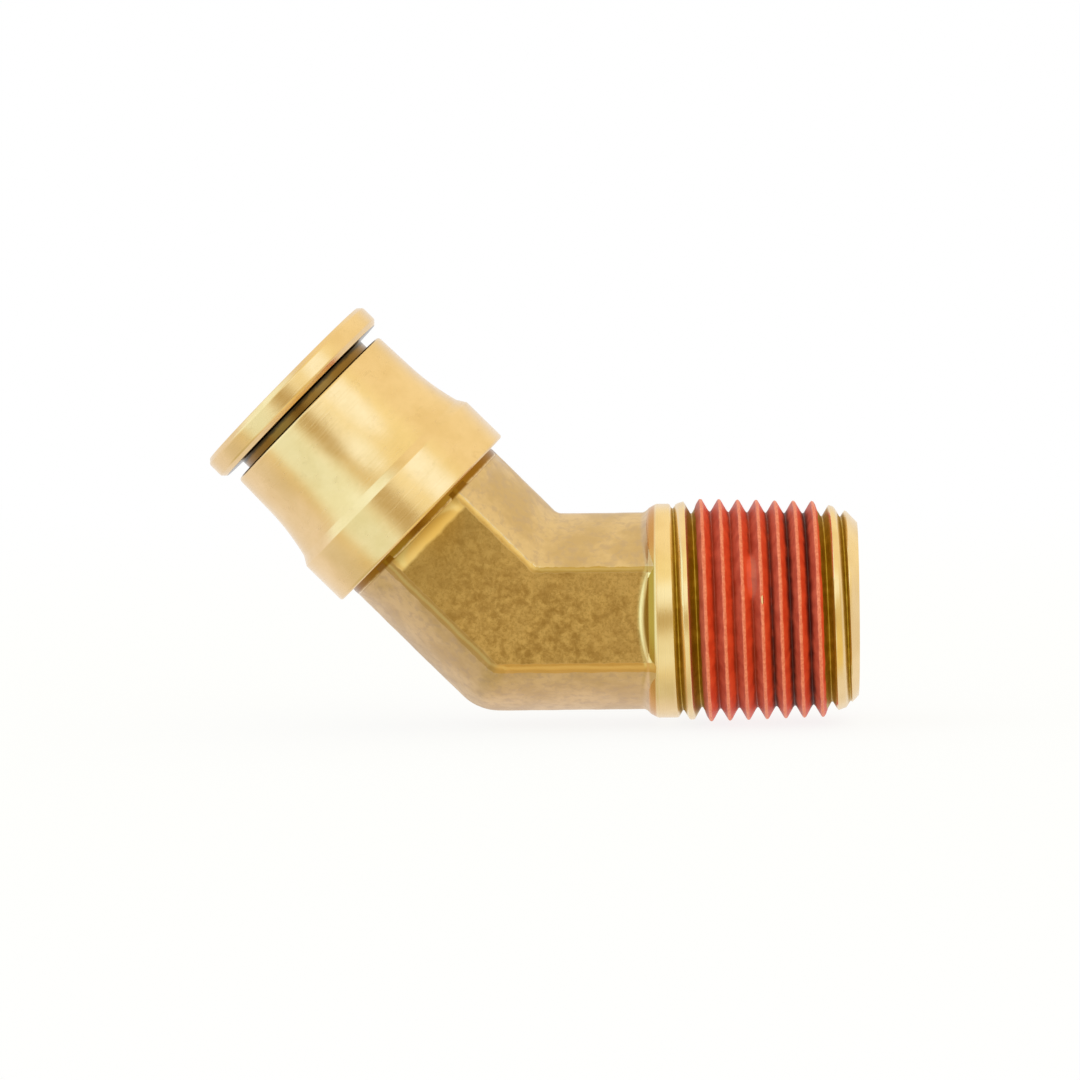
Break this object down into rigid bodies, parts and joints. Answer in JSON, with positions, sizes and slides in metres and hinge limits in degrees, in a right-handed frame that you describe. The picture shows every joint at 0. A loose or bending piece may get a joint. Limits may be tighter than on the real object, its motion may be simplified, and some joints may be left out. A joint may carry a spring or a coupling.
{
  "type": "push-in elbow fitting",
  "caption": "Forged brass 45 degree male elbow: push-in socket for half-inch air-brake tube with a release collar, and a tapered pipe thread with a ring of dried thread sealant.",
  "frame": {"origin": "centre of the threaded end's face", "axes": "+X along the thread axis, out of the threaded end; the bend lies in the XZ plane; the push-in leg runs up at 45 degrees towards -X and +Z; Y is across the wrench flats"},
  "size_m": [0.0631, 0.0224, 0.0408],
  "materials": {
    "forged_brass": "as forged, brushed dull, with turned ends",
    "turned_brass": "turned, satin",
    "stainless": "stamped sheet",
    "sealant": "dried coat",
    "acetal": "moulded",
    "nitrile": "moulded"
  },
  "bodies": {
    "fitting": {"elbow_body": "forged_brass", "thread_sealant": "sealant", "collar_housing": "turned_brass", "guide_bush": "turned_brass", "grab_ring": "stainless", "seal_spacer": "acetal", "tube_seal": "nitrile", "tube_support": "turned_brass"},
    "collar": {"release_collar": "turned_brass"}
  },
  "joints": [
    {"name": "release_press", "type": "slide", "parent": "fitting", "child": "collar", "axis": [0.7071, 0, -0.7071], "range_m": [-0.00025, 0.001], "deforming": ["grab_ring"]}
  ]
}
